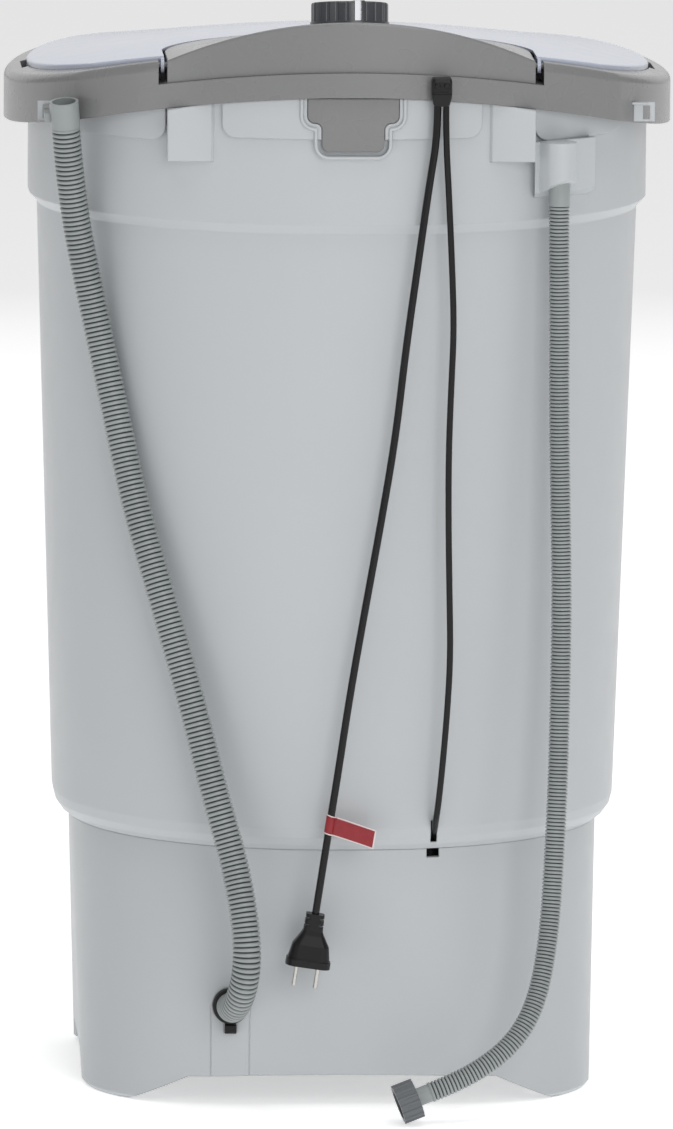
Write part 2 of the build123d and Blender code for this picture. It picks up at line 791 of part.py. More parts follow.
def make_lid():
    low = deck_edge_z - 60
    top = max(deck_crown.values()) + 40
    arm_inner = console_half + arm_gap
    with BuildPart() as lid:
        add(column(rim_plan(lid_inset), low, top))
        add(under_deck(lid_rise_crown, lid_rise_edge), mode=Mode.INTERSECT)
        fillet(lid.faces().sort_by(Axis.Z)[-1].edges(), lid_round)
        add(under_deck(-seat_depth + gap, -seat_depth + gap), mode=Mode.SUBTRACT)
        with BuildPart(mode=Mode.PRIVATE) as inside:
            add(column(rim_plan(lid_inset + lid_wall), low - 5, top))
            add(under_deck(lid_rise_crown - lid_wall, lid_rise_edge - lid_wall), mode=Mode.INTERSECT)
        add(inside.part, mode=Mode.SUBTRACT)
        add(column(lid_notch(arm_gap), low - 10, top + 10), mode=Mode.SUBTRACT)
        for side in (-1, 1):
            start = side * arm_inner if side > 0 else side * (arm_inner + arm_width)
            with BuildPart(mode=Mode.PRIVATE) as arm:
                with BuildSketch(Plane.YZ.offset(start)):
                    with Locations((hinge_y, hinge_z)):
                        Circle(arm_end_radius)
                    with BuildLine():
                        Polyline((hinge_y - arm_end_radius, hinge_z), (hinge_y - 4, hinge_z + 6),
                                 (-rim_corner_y - 27, hinge_z + 40), (-rim_corner_y + 8, hinge_z + 40),
                                 (-rim_corner_y, hinge_z - 2), (hinge_y + 4, hinge_z - 5), close=True)
                    make_face()
                extrude(amount=arm_width)
                half_wall = lid_wall / 2
                add(under_deck(lid_rise_crown - half_wall, lid_rise_edge - half_wall), mode=Mode.INTERSECT)
                add(hinge_rod(side, arm_inner - 1, arm_inner + arm_width + 1, pin_radius + running_gap),
                    mode=Mode.SUBTRACT)
            add(arm.part)
    return lid


def make_hinge_pin(side):
    with BuildPart() as pin:
        add(hinge_rod(side, console_half - console_wall, pocket_half + rim_wall, pin_radius))
    return pin


def knob_plane(height):
    return Plane(origin=along_knob(height), x_dir=(1, 0, 0), z_dir=knob_axis)


def pointer_solid():
    """Bar across the knob's top and down its flank, turned to the pointer's angle."""
    turn = radians(-90 + pointer_angle)
    with BuildPart() as bar:
        with BuildSketch(knob_plane(knob_gap + knob_flange)):
            with Locations(Location((knob_radius / 2 * cos(turn) + 2 * cos(turn), knob_radius / 2 * sin(turn)
                                     + 2 * sin(turn), 0), (0, 0, degrees(turn)))):
                Rectangle(knob_radius - 4.2, pointer_width)
        extrude(amount=knob_height - knob_flange + 0.6)
        with BuildPart(mode=Mode.PRIVATE) as core:
            with BuildSketch(knob_plane(0)):
                Circle(knob_radius - 3.5)
            extrude(amount=knob_height + knob_gap - 1.8)
        add(core.part, mode=Mode.SUBTRACT)
        with BuildPart(mode=Mode.PRIVATE) as reach:
            with BuildSketch(knob_plane(0)):
                Circle(knob_radius - 0.4)
            extrude(amount=knob_height + 10)
        add(reach.part, mode=Mode.INTERSECT)
    return bar.part


def make_knob():
    with BuildPart() as knob:
        with BuildSketch(knob_plane(knob_gap)):
            Circle(knob_radius)
        extrude(amount=knob_flange)
        with BuildSketch(knob_plane(knob_gap)):
            Circle(knob_radius - 1)
        extrude(amount=knob_height)
        top_edge = knob.edges().filter_by(GeomType.CIRCLE).sort_by(lambda e: e.center().dot(knob_axis))[-1]
        fillet(top_edge, 2)
        with BuildSketch(knob_plane(knob_gap + knob_flange)):
            with PolarLocations(knob_radius + 0.6, scallops, start_angle=360 / scallops / 2):
                Circle(scallop_radius)
        extrude(amount=knob_height, mode=Mode.SUBTRACT)
        with BuildSketch(knob_plane(knob_gap)):
            Circle(timer_shaft_radius)
        extrude(amount=knob_height - 4, mode=Mode.SUBTRACT)
        add(pointer_solid(), mode=Mode.SUBTRACT)
    return knob


def make_pointer():
    with BuildPart() as pointer:
        add(pointer_solid())
    return pointer


def make_timer_shaft():
    with BuildPart() as shaft:
        with BuildSketch(knob_plane(-console_wall - timer_depth / 2)):
            Circle(timer_shaft_radius)
        extrude(amount=console_wall + timer_depth / 2 + knob_gap + knob_height - 4)
    return shaft


def make_timer():
    with BuildPart() as timer:
        with BuildSketch(knob_plane(-console_wall)):
            RectangleRounded(timer_width, timer_width - 6, 5)
        extrude(amount=-timer_depth)
        with BuildSketch(knob_plane(-console_wall)):
            Circle(timer_shaft_radius + running_gap)
        extrude(amount=-timer_depth / 2, mode=Mode.SUBTRACT)
        add(under_deck(-rim_height + rim_wall, -rim_height + rim_wall), mode=Mode.SUBTRACT)
        add(console_bulk(console_wall), mode=Mode.INTERSECT)
    return timer


def make_tongue():
    with BuildPart() as tongue:
        add(across(tongue_plan(0), rim_rear + 40))
        add(collar_skin(pad_proud), mode=Mode.INTERSECT)
        add(collar_skin(tongue_skin), mode=Mode.SUBTRACT)
    return tongue


def rim_face_y(x):
    """Y of the rim's rear face at x."""
    sagitta = rim_rear - rim_corner_y
    radius = (rim_corner_x**2 + sagitta**2) / (2 * sagitta)
    return -rim_rear + radius - sqrt(radius**2 - x**2)


def clamp_neck(grow):
    face = rim_face_y(clamp_x)
    return block((clamp_x - 6 - grow, clamp_x + 6 + grow), (face - 4, face + 12),
                 (clamp_low_z + 9 - grow, clamp_low_z + 17 + grow))


def make_clamp():
    face = rim_face_y(clamp_x)
    with BuildPart() as clamp:
        add(block((clamp_x - clamp_width / 2, clamp_x + clamp_width / 2), (face - clamp_reach, face + 3),
                  (clamp_low_z, clamp_high_z)))
        fillet(clamp.edges().filter_by(Axis.Z).group_by(Axis.Y)[0], 4)
        fillet(clamp.faces().sort_by(Axis.Z)[-1].edges(), 2)
        add(column(rim_plan(0), clamp_low_z - 5, clamp_high_z + 5), mode=Mode.SUBTRACT)
        add(clamp_neck(0))
    return clamp


def plug_point(down, across_x=0.0):
    """Point on the hanging plug: so far down its axis from the neck, and so far across it."""
    top = Vector(POWER_CORD[-1])
    return top + plug_axis * down + plug_across * across_x


def plug_plane(down):
    return Plane(origin=plug_point(down), x_dir=plug_across, z_dir=plug_axis)


def make_plug_body():
    with BuildPart() as plug:
        for down, width, depth, corner in PLUG_SECTIONS:
            with BuildSketch(plug_plane(down)):
                RectangleRounded(width, depth, corner)
        loft(ruled=True)
        with BuildSketch(plug_plane(plug_length - plug_flange)):
            RectangleRounded(39, 24, 9)
        extrude(amount=plug_flange)
        for down, width, depth in neck_slots:
            with BuildSketch(plug_plane(down)):
                with GridLocations(width, 0, 2, 1):
                    Rectangle(width - 2 * neck_core, depth)
            extrude(amount=2, mode=Mode.SUBTRACT)
        for side in (-1, 1):
            with BuildSketch(plug_plane(plug_length - plug_root)):
                with Locations((side * pin_spacing / 2, 0)):
                    Circle(plug_root_radius)
            extrude(amount=plug_root, mode=Mode.SUBTRACT)
    return plug


def make_plug_pins():
    """Round pins with bevelled tips, on thicker roots that are held in the plug body."""
    with BuildPart() as pins:
        for side in (-1, 1):
            with BuildSketch(plug_plane(plug_length - plug_root)):
                with Locations((side * pin_spacing / 2, 0)):
                    Circle(plug_root_radius)
            extrude(amount=plug_root)
            with BuildSketch(plug_plane(plug_length)):
                with Locations((side * pin_spacing / 2, 0)):
                    Circle(plug_pin_radius)
            extrude(amount=plug_pin_length)
        along = Axis(plug_point(0), plug_axis)
        tips = pins.edges().filter_by(GeomType.CIRCLE).sort_by(along)[-2:]
        chamfer(tips, plug_pin_bevel)
    return pins


def make_tag():
    """Flag label folded round the lead and stuck to itself."""
    start, end = Vector(POWER_CORD[-3]), Vector(POWER_CORD[-2])
    way = (end - start).normalized()
    loop_outer = lead_diameter / 2 + tag_thickness
    plane = Plane(origin=start + way * tag_down, x_dir=way.cross(Vector(0, 1, 0)), z_dir=way)
    with BuildPart() as tag:
        with BuildSketch(plane):
            Circle(loop_outer)
            with Locations((tag_width / 2, tag_thickness / 2 - loop_outer)):
                Rectangle(tag_width, tag_thickness)
            Circle(lead_diameter / 2 + running_gap, mode=Mode.SUBTRACT)
        extrude(amount=tag_height)
    return tag


def make_drain_cuff():
    """Smooth open end of the drain hose, with the ear that holds it in the clip's slot."""
    start = Vector(DRAIN_HOSE[-1])
    run = (start - Vector(DRAIN_HOSE[-2])).normalized()
    with BuildPart() as cuff:
        add(rod(start, start + run * 23, drain_hose_diameter / 2 + gap))
        ear_x = side_span(-1, clip_slot[0] + ear_gap, clip_slot[1] - ear_gap)
        ear_z = (clip_z - clip_half + 2, clip_z + 1.5)
        add(block((ear_x[0], start.X), (start.Y - 2, start.Y + 2), ear_z))
        add(block(ear_x, (start.Y - 2, clip_y + 5), ear_z))
        add(rod(start + run * 2, start + run * 24, drain_hose_diameter / 2 - cuff_wall), mode=Mode.SUBTRACT)
    return cuff


def side_span(side, inner, outer):
    """X limits beside the clip's middle, on the side asked for."""
    return sorted((side * (clip_x + inner), side * (clip_x + outer)))


def clip_solid(side):
    """Bracket on the rim's corner: an upright plate with a slot, a hook on top and a foot on the rim."""
    with BuildPart() as clip:
        low, high = clip_z - clip_half, clip_z + clip_half
        plate_rear = clip_y + clip_plate
        add(block(side_span(side, -11, 11), (clip_y, plate_rear), (low, high)))
        add(block(side_span(side, -22, -5), (clip_y, clip_y + 9), (low, high)))
        add(block(side_span(side, -11, 4), (clip_y - 3, plate_rear), (high - 2, high)))
        add(block(side_span(side, *clip_slot), (clip_y - 5, clip_y + 12), (low + 2, high - 3)), mode=Mode.SUBTRACT)
        add(column(rim_plan(0), clip_z - 30, clip_z + 60), mode=Mode.SUBTRACT)
    return clip


def inlet_plane(height):
    out = Vector(cos(radians(inlet_angle)), sin(radians(inlet_angle)), 0)
    side = Vector(-out.Y, out.X, 0)
    return Plane(origin=(0, 0, height), x_dir=side, z_dir=(0, 0, 1)), out


def make_inlet_housing():
    """Moulded inlet on the tub's wall: a plate, an upright half-round bulge and a sloped underside."""
    plane, out = inlet_plane(inlet_low_z)
    bulge = inlet_hose_diameter / 2 + inlet_bulge_wall
    with BuildPart() as housing:
        with BuildSketch(plane):
            with Locations((inlet_shift, -collar_half - wall)):
                Rectangle(inlet_width, inlet_plate_depth)
            with Locations((0, -inlet_radius)):
                Circle(bulge)
            with Locations((0, -inlet_radius + inlet_plate_depth / 2)):
                Rectangle(2 * bulge, inlet_plate_depth)
        extrude(amount=inlet_high_z - inlet_low_z)
        add(stack([(inlet_low_z - 1, collar_half), (inlet_high_z + 1, collar_half)]), mode=Mode.SUBTRACT)
        add(block((0, lug_outer + gap), (-outside, 0), (inlet_low_z - 1, inlet_high_z + 1)), mode=Mode.SUBTRACT)
        with BuildPart(mode=Mode.PRIVATE) as slope:
            with BuildSketch(Plane(origin=(0, 0, 0), x_dir=out, z_dir=out.cross(Vector(0, 0, 1)))):
                reach = 2 * inlet_plate_depth
                with BuildLine():
                    Polyline(
                        (collar_half - reach, inlet_low_z - inlet_slope * reach),
                        (collar_half - reach, inlet_low_z - 2 * reach),
                        (collar_half + 2 * reach, inlet_low_z - 2 * reach),
                        (collar_half + 2 * reach, inlet_low_z + 2 * inlet_slope * reach),
                        close=True,
                    )
                make_face()
            extrude(amount=inlet_width, both=True)
        add(slope.part, mode=Mode.SUBTRACT)
        shaft_top = inlet_point(inlet_radius, inlet_bore_z + inlet_bore_radius + 2)
        add(rod(inlet_point(inlet_radius, inlet_low_z - 5), shaft_top,
                inlet_hose_diameter / 2 + gap + running_gap), mode=Mode.SUBTRACT)
        add(rod(inlet_point(collar_half - 10, inlet_bore_z), inlet_point(inlet_radius, inlet_bore_z),
                inlet_bore_radius), mode=Mode.SUBTRACT)
    return housing


def make_inlet_upper_cuff():
    """Smooth upper end of the inlet hose, up inside the housing."""
    low_z = INLET_HOSE[0][2]
    radius = inlet_hose_diameter / 2
    with BuildPart() as cuff:
        add(rod(inlet_point(inlet_radius, low_z), inlet_point(inlet_radius, inlet_bore_z - 8), radius + gap))
        add(rod(inlet_point(inlet_radius, low_z + 3), inlet_point(inlet_radius, inlet_bore_z),
                radius - cuff_wall), mode=Mode.SUBTRACT)
    return cuff


def make_inlet_spout():
    """Short nozzle inside the tub that throws the water down."""
    with BuildPart() as spout:
        add(rod(inlet_point(collar_half - 34, inlet_bore_z), inlet_point(inlet_radius - 14, inlet_bore_z),
                inlet_bore_radius))
        add(rod(inlet_point(collar_half - 31, inlet_bore_z), inlet_point(inlet_radius, inlet_bore_z),
                inlet_bore_radius - 2), mode=Mode.SUBTRACT)
        mouth_radius = collar_half - 28
        add(rod(inlet_point(mouth_radius, inlet_bore_z - 20), inlet_point(mouth_radius, inlet_bore_z), 4),
            mode=Mode.SUBTRACT)
    return spout


def tail_point(distance):
    return Vector(INLET_HOSE[-1]) + nut_axis * distance


def make_inlet_tail():
    """Smooth lower cuff of the inlet hose, with the flange that the coupling nut turns on."""
    with BuildPart() as tail:
        add(rod(tail_point(0), tail_point(tail_length + 6), inlet_hose_diameter / 2 - 1))
        add(rod(tail_point(tail_length + 3), tail_point(tail_length + 6), inlet_hose_diameter / 2 + 2.5))
        add(rod(tail_point(3), tail_point(tail_length + 7), inlet_hose_diameter / 2 - 4), mode=Mode.SUBTRACT)
    return tail


def make_inlet_nut():
    start = tail_point(tail_length)
    plane = Plane(origin=start, z_dir=nut_axis)
    with BuildPart() as nut:
        with BuildSketch(plane):
            Circle(nut_radius - 1.2)
            with PolarLocations(nut_radius - 1.5, nut_ribs):
                Circle(1.5)
        extrude(amount=nut_length)
        tail_radius = inlet_hose_diameter / 2 - 1
        relief_end = start + nut_axis * 8.5
        add(rod(start + nut_axis * 2.8, relief_end, thread_radius + 0.5), mode=Mode.SUBTRACT)
        add(rod(relief_end - nut_axis, start + nut_axis * (nut_length + 1), thread_radius), mode=Mode.SUBTRACT)
        add(rod(start - nut_axis, start + nut_axis * 4, tail_radius + running_gap), mode=Mode.SUBTRACT)
    return nut


def make_inlet_washer():
    start = tail_point(tail_length + 6)
    with BuildPart() as washer:
        add(rod(start, start + nut_axis * 2.5, inlet_hose_diameter / 2 + 2.5))
        add(rod(start - nut_axis, start + nut_axis * 4, inlet_hose_diameter / 2 - 4), mode=Mode.SUBTRACT)
    return washer


def ring_solid(low, high, outer, inner, centre=(0, 0)):
    with BuildPart() as body:
        with BuildSketch(Plane.XY.offset(low)):
            with Locations(centre):
                Circle(outer)
                if inner:
                    Circle(inner, mode=Mode.SUBTRACT)
        extrude(amount=high - low)
    return body.part


def make_drain_pipe():
    """Moulded pipe from the tub's outlet down and back to the hose."""
    outer = drain_hose_diameter / 2 + 3
    end_y = DRAIN_HOSE[0][1]
    elbow = [(drain_x, drain_outlet_y, floor_under_z), (drain_x, drain_outlet_y, drain_z),
             (drain_x, end_y, drain_z)]
    with BuildPart() as pipe:
        for radius, mode in ((outer, Mode.ADD), (outer - 5, Mode.SUBTRACT)):
            with BuildPart(mode=Mode.PRIVATE) as bend:
                with BuildLine() as path:
                    FilletPolyline(*elbow, radius=24)
                with BuildSketch(Plane(origin=path.line @ 0, z_dir=path.line % 0)):
                    Circle(radius)
                sweep()
            add(bend.part, mode=mode)
        add(ring_solid(floor_under_z - 4, floor_under_z, outer + 8, outer - 5, (drain_x, drain_outlet_y)))
    return pipe


def make_strainer():
    """Perforated cover over the tub's outlet."""
    with BuildPart() as strainer:
        with Locations((drain_x, drain_outlet_y, floor_top_z)):
            Cylinder(strainer_radius, 5, align=LOW)
            with PolarLocations(strainer_radius * 0.62, 8):
                Cylinder(2.6, 20, mode=Mode.SUBTRACT)
            with PolarLocations(strainer_radius * 0.3, 4):
                Cylinder(2.4, 20, mode=Mode.SUBTRACT)
    return strainer


def make_pulsator():
    low = floor_top_z + pulsator_gap
    with BuildPart() as pulsator:
        with Locations((0, 0, low)):
            Cylinder(pulsator_radius, 5, align=LOW)
        with Locations((0, 0, low)):
            Cone(48, 20, vane_height + 10, align=LOW)
        with BuildPart(mode=Mode.PRIVATE) as vane:
            with BuildSketch(Plane.XZ.offset(-9)):
                with BuildLine():
                    Polyline((10, low), (pulsator_radius - 8, low), (pulsator_radius - 8, low + 8))
                    ThreePointArc((pulsator_radius - 8, low + 8), (95, low + vane_height - 4),
                                  (10, low + vane_height + 6))
                    Line((10, low + vane_height + 6), (10, low))
                make_face()
            extrude(amount=18)
            fillet(vane.faces().sort_by(Axis.Z)[-1].edges().filter_by(lambda e: e.length > 50), 6)
        with PolarLocations(0, 4):
            add(vane.part)
        with Locations((0, 0, low - 1)):
            Cylinder(shaft_radius, shaft_high_z - low + 1, align=LOW, mode=Mode.SUBTRACT)
        with Locations((0, 0, shaft_high_z)):
            Cylinder(screw_head_radius + gap, vane_height, align=LOW, mode=Mode.SUBTRACT)
        with PolarLocations(pulsator_radius - 22, 12, start_angle=15):
            Cylinder(3.5, 3 * low, mode=Mode.SUBTRACT)
    return pulsator


def make_pulsator_screw():
    with BuildPart() as screw:
        with Locations((0, 0, shaft_high_z)):
            Cylinder(screw_head_radius, 6, align=LOW)
        chamfer(screw.faces().sort_by(Axis.Z)[-1].edges(), 1.5)
        with BuildSketch(Plane.XY.offset(shaft_high_z + 6)):
            Rectangle(14, 2)
        extrude(amount=-2.5, mode=Mode.SUBTRACT)
    return screw


def make_shaft():
    with BuildPart() as shaft:
        with Locations((0, 0, shaft_low_z)):
            Cylinder(shaft_radius, shaft_high_z - shaft_low_z, align=LOW)
        chamfer(shaft.faces().sort_by(Axis.Z)[0].edges(), 1)
    return shaft


def make_bearing_housing():
    with BuildPart() as housing:
        with Locations((0, 0, bearing_low_z)):
            Cylinder(bearing_radius, floor_under_z - bearing_low_z, align=LOW)
        with Locations((0, 0, floor_under_z - bearing_flange)):
            Cylinder(bearing_flange_radius, bearing_flange, align=LOW)
        with Locations((0, 0, floor_under_z)):
            Cylinder(bearing_hole_radius, floor_thickness + 2, align=LOW)
        for turn in range(6):
            middle = (bearing_low_z + floor_under_z) / 2 + 10
            with Locations(Location((0, 0, middle), (0, 0, 60 * turn + 30))):
                with Locations((bearing_radius + 7, 0)):
                    Box(18, 3, 40)
        with Locations((0, 0, bearing_low_z - 1)):
            Cylinder(bush_radius, 200, align=LOW, mode=Mode.SUBTRACT)
        with Locations((0, 0, floor_under_z - bearing_flange - 1)):
            with PolarLocations(bearing_flange_radius - 8, 4, start_angle=0):
                Cylinder(2.5, bearing_flange + 2, align=LOW, mode=Mode.SUBTRACT)
    return housing


def motor_centre():
    return (motor_offset, -motor_offset)


def make_pulley(centre, radius, bore, low):
    """V-groove pulley with its belt groove at mid height."""
    with BuildPart() as pulley:
        with BuildSketch(Plane.XZ):
            with BuildLine():
                middle = low + pulley_height / 2
                Polyline(
                    (bore, low), (radius + 3, low), (radius + 3, middle - belt_width / 2 - 0.6),
                    (radius - belt_depth, middle - belt_width / 4), (radius - belt_depth, middle + belt_width / 4),
                    (radius + 3, middle + belt_width / 2 + 0.6), (radius + 3, low + pulley_height),
                    (bore, low + pulley_height), close=True,
                )
            make_face()
        revolve(axis=Axis.Z)
        if radius > 2 * motor_pulley_radius:
            with Locations((0, 0, low - 1)):
                with PolarLocations(radius * 0.58, 6):
                    Cylinder(radius * 0.17, pulley_height + 2, align=LOW, mode=Mode.SUBTRACT)
    pulley.part = Pos(centre[0], centre[1], 0) * pulley.part
    return pulley


def belt_loop(first_radius, second_radius):
    """Sketch of the belt's outline round both pulleys."""
    x, y = motor_centre()
    with BuildSketch() as loop:
        with BuildLine():
            CenterArc((0, 0), first_radius, 0, 360)
            CenterArc((x, y), second_radius, 0, 360)
        make_hull()
    return loop.sketch


def make_belt():
    middle = pulley_z + pulley_height / 2
    with BuildPart() as belt:
        with BuildSketch(Plane.XY.offset(middle - belt_height / 2)):
            add(belt_loop(drive_pulley_radius + 2, motor_pulley_radius + 2))
            add(belt_loop(drive_pulley_radius - 3, motor_pulley_radius - 3), mode=Mode.SUBTRACT)
        extrude(amount=belt_height)
    return belt


def make_pulley_nut():
    with BuildPart() as nut:
        with BuildSketch(Plane.XY.offset(shaft_low_z + 3)):
            RegularPolygon(11, 6)
        extrude(amount=pulley_z - shaft_low_z - 3)
        with Locations((0, 0, shaft_low_z)):
            Cylinder(shaft_radius, 40, align=LOW, mode=Mode.SUBTRACT)
    return nut


def make_motor():
    x, y = motor_centre()
    low = bracket_z + bracket_thickness
    with BuildPart() as motor:
        with Locations((x, y, low)):
            Cylinder(motor_radius, motor_height, align=LOW)
        fillet(motor.edges().filter_by(GeomType.CIRCLE), 8)
        with Locations((x, y, low + motor_height * 0.3)):
            Cylinder(motor_radius + motor_band, motor_height * 0.4, align=LOW)
        with Locations(Location((x, y, low), (0, 0, 45))):
            with PolarLocations(motor_radius + 4, 4):
                Cylinder(8, 10, align=LOW)
        with Locations((x, y, low - 1)):
            Cylinder(motor_shaft_radius + running_gap, motor_height - 8, align=LOW, mode=Mode.SUBTRACT)
        with Locations(Location((x, y, low - 1), (0, 0, 45))):
            with PolarLocations(motor_radius + 4, 4):
                Cylinder(2.5, 12, align=LOW, mode=Mode.SUBTRACT)
    return motor


def make_motor_shaft():
    x, y = motor_centre()
    with BuildPart() as shaft:
        with Locations((x, y, pulley_z - 4)):
            Cylinder(motor_shaft_radius, bracket_z + motor_height - 12 - pulley_z, align=LOW)
    return shaft


def make_motor_gland():
    """Rubber gland between the motor's case and its cable."""
    x, y = motor_centre()
    end = Vector(MOTOR_CABLE[-1])
    way = (end - Vector(MOTOR_CABLE[-2])).normalized()
    with BuildPart() as gland:
        add(rod(end, end + way * 16, 6))
        add(ring_solid(end.Z - 40, end.Z + 40, motor_radius + motor_band, 0, (x, y)), mode=Mode.SUBTRACT)
    return gland


def post_places():
    """Places of the posts that hang the bracket from the tub's floor."""
    x, y = motor_centre()
    return [(-58, 20), (20, 58), (x + 21, y - 79), (x + 79, y - 21)]


def make_bracket():
    x, y = motor_centre()
    with BuildPart() as bracket:
        with BuildSketch(Plane.XY.offset(bracket_z)):
            with BuildLine():
                CenterArc((0, 0), bearing_radius + 48, 0, 360)
                CenterArc((x, y), motor_radius + 32, 0, 360)
            make_hull()
            with Locations((0, 0)):
                Circle(bearing_radius - 4, mode=Mode.SUBTRACT)
            with Locations((x, y)):
                Circle(motor_shaft_radius + 8, mode=Mode.SUBTRACT)
            with Locations(*post_places()):
                Circle(3, mode=Mode.SUBTRACT)
            with Locations(Location((x, y, 0), (0, 0, 45))):
                with PolarLocations(motor_radius + 4, 4):
                    Circle(2.5, mode=Mode.SUBTRACT)
        extrude(amount=bracket_thickness)
    return bracket


def make_posts():
    with BuildPart() as posts:
        for x, y in post_places():
            add(ring_solid(bracket_z + bracket_thickness, floor_under_z, post_radius, 3, (x, y)))
    return posts


def make_bracket_bolts():
    with BuildPart() as bolts:
        for x, y in post_places():
            with Locations((x, y, bracket_z - 4)):
                Cylinder(6, 4, align=LOW)
            with Locations((x, y, bracket_z)):
                Cylinder(3, 30, align=LOW)
    return bolts


def make_motor_bolts():
    x, y = motor_centre()
    with BuildPart() as bolts:
        with Locations(Location((x, y, bracket_z - 4), (0, 0, 45))):
            with PolarLocations(motor_radius + 4, 4):
                Cylinder(5, 4, align=LOW)
                Cylinder(2.5, 4 + bracket_thickness + 10, align=LOW)
    return bolts


def make_bearing_bolts():
    with BuildPart() as bolts:
        with PolarLocations(bearing_flange_radius - 8, 4):
            with Locations((0, 0, floor_under_z - bearing_flange - 3)):
                Cylinder(4.5, 3, align=LOW)
                Cylinder(2.5, 3 + bearing_flange, align=LOW)
    return bolts


def make_base_screws():
    with BuildPart() as screws:
        with Locations(*screw_places(boss_low_z - screw_head)):
            Cylinder(1.5 * bolt_radius, screw_head, align=LOW)
            Cylinder(base_screw_radius, boss_high_z - boss_low_z + screw_head + base_screw_bite, align=LOW)
    return screws


def make_capacitor():
    with BuildPart() as capacitor:
        with Locations((*capacitor_place, floor_under_z - 72)):
            Cylinder(18, 70, align=LOW)
        fillet(capacitor.edges().filter_by(GeomType.CIRCLE).group_by(Axis.Z)[0], 3)
        with Locations((*capacitor_place, floor_under_z - 78)):
            with GridLocations(14, 1, 2, 1):
                Box(1, 6, 6.5, align=LOW)
    return capacitor


def make_capacitor_clip():
    x, y = capacitor_place
    low = floor_under_z - 50
    with BuildPart() as clip:
        add(ring_solid(low, low + 20, 20, 18, capacitor_place))
        add(block((x + 18.5, x + 22), (y - 8, y + 8), (low, floor_under_z)))
        add(block((x + 19, x + 40), (y - 8, y + 8), (floor_under_z - 2, floor_under_z)))
    return clip


def main():
    pieces = {
        "tub_body": make_tub(),
        "base": make_base(),
        "drain_slot_insert": make_slot_insert(),
        "insert_latch": make_insert_latch(),
        "drain_grommet": make_grommet(),
        "top_cover_ring": make_ring(),
        "console_housing": make_console(),
        "lid": make_lid(),
        "hinge_pin_left": make_hinge_pin(-1),
        "hinge_pin_right": make_hinge_pin(1),
        "timer_knob": make_knob(),
        "knob_pointer": make_pointer(),
        "timer_shaft": make_timer_shaft(),
        "timer": make_timer(),
        "rear_tongue_plate": make_tongue(),
        "cable_clamp": make_clamp(),
        "plug_body": make_plug_body(),
        "plug_pins": make_plug_pins(),
        "cord_tag": make_tag(),
        "drain_hose_cuff": make_drain_cuff(),
        "hose_clip_left": clip_solid(-1),
        "hose_clip_right": clip_solid(1),
        "inlet_housing": make_inlet_housing(),
        "inlet_hose_cuff": make_inlet_upper_cuff(),
        "inlet_spout": make_inlet_spout(),
        "inlet_hose_tail": make_inlet_tail(),
        "inlet_nut": make_inlet_nut(),
        "inlet_washer": make_inlet_washer(),
        "drain_pipe": make_drain_pipe(),
        "drain_strainer": make_strainer(),
        "pulsator": make_pulsator(),
        "pulsator_screw": make_pulsator_screw(),
        "pulsator_shaft": make_shaft(),
        "bearing_housing": make_bearing_housing(),
        "drive_pulley": make_pulley((0, 0), drive_pulley_radius, shaft_radius, pulley_z),
        "pulley_nut": make_pulley_nut(),
        "motor_pulley": make_pulley(motor_centre(), motor_pulley_radius, motor_shaft_radius, pulley_z),
        "drive_belt": make_belt(),
        "motor": make_motor(),
        "motor_shaft": make_motor_shaft(),
        "motor_gland": make_motor_gland(),
        "drive_bracket": make_bracket(),
        "bracket_posts": make_posts(),
        "bracket_bolts": make_bracket_bolts(),
        "motor_bolts": make_motor_bolts(),
        "bearing_bolts": make_bearing_bolts(),
        "base_screws": make_base_screws(),
        "capacitor": make_capacitor(),
        "capacitor_clip": make_capacitor_clip(),
    }
    for name, low in (("lower_bush", bearing_low_z), ("upper_bush", floor_top_z - bush_length - 8)):
        with BuildPart() as bush:
            add(ring_solid(low, low + bush_length, bush_radius, shaft_radius + running_gap))
        pieces[name] = bush
    with BuildPart() as seal:
        add(ring_solid(floor_top_z - 7, floor_top_z + 1, bush_radius, shaft_radius + running_gap))
    pieces["shaft_seal"] = seal
    for name, builder in pieces.items():
        builder.part.label = name
        export_step(builder.part, f"parts/{name}.step")
    cords = {
        "power_cord": (POWER_CORD, lead_diameter),
        "motor_cable": (MOTOR_CABLE, motor_cable_diameter),
        "drain_hose": (DRAIN_HOSE, drain_hose_diameter),
        "inlet_hose": (INLET_HOSE, inlet_hose_diameter),
    }
    for name, (points, diameter) in cords.items():
        cord = tube(name, points, diameter)
        cord.label = name
        export_step(cord, f"parts/{name}.step")


main()
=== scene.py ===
import json
import math

import bmesh
import bpy
from mathutils import Matrix, Vector


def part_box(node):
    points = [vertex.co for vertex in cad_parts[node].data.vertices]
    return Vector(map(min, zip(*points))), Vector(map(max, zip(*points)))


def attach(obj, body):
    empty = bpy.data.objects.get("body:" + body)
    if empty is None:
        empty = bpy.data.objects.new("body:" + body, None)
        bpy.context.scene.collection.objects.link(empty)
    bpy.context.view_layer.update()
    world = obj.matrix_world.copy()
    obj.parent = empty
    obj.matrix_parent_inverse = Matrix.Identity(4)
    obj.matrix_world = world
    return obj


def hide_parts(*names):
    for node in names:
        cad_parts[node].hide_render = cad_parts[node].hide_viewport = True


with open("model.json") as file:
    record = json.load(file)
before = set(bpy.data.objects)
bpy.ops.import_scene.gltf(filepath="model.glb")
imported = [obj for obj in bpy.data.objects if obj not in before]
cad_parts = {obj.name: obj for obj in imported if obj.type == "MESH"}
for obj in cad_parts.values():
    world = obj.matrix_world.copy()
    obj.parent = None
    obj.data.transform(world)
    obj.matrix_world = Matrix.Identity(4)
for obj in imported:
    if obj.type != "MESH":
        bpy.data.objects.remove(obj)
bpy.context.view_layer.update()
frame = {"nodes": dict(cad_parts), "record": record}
nodes = frame["nodes"]

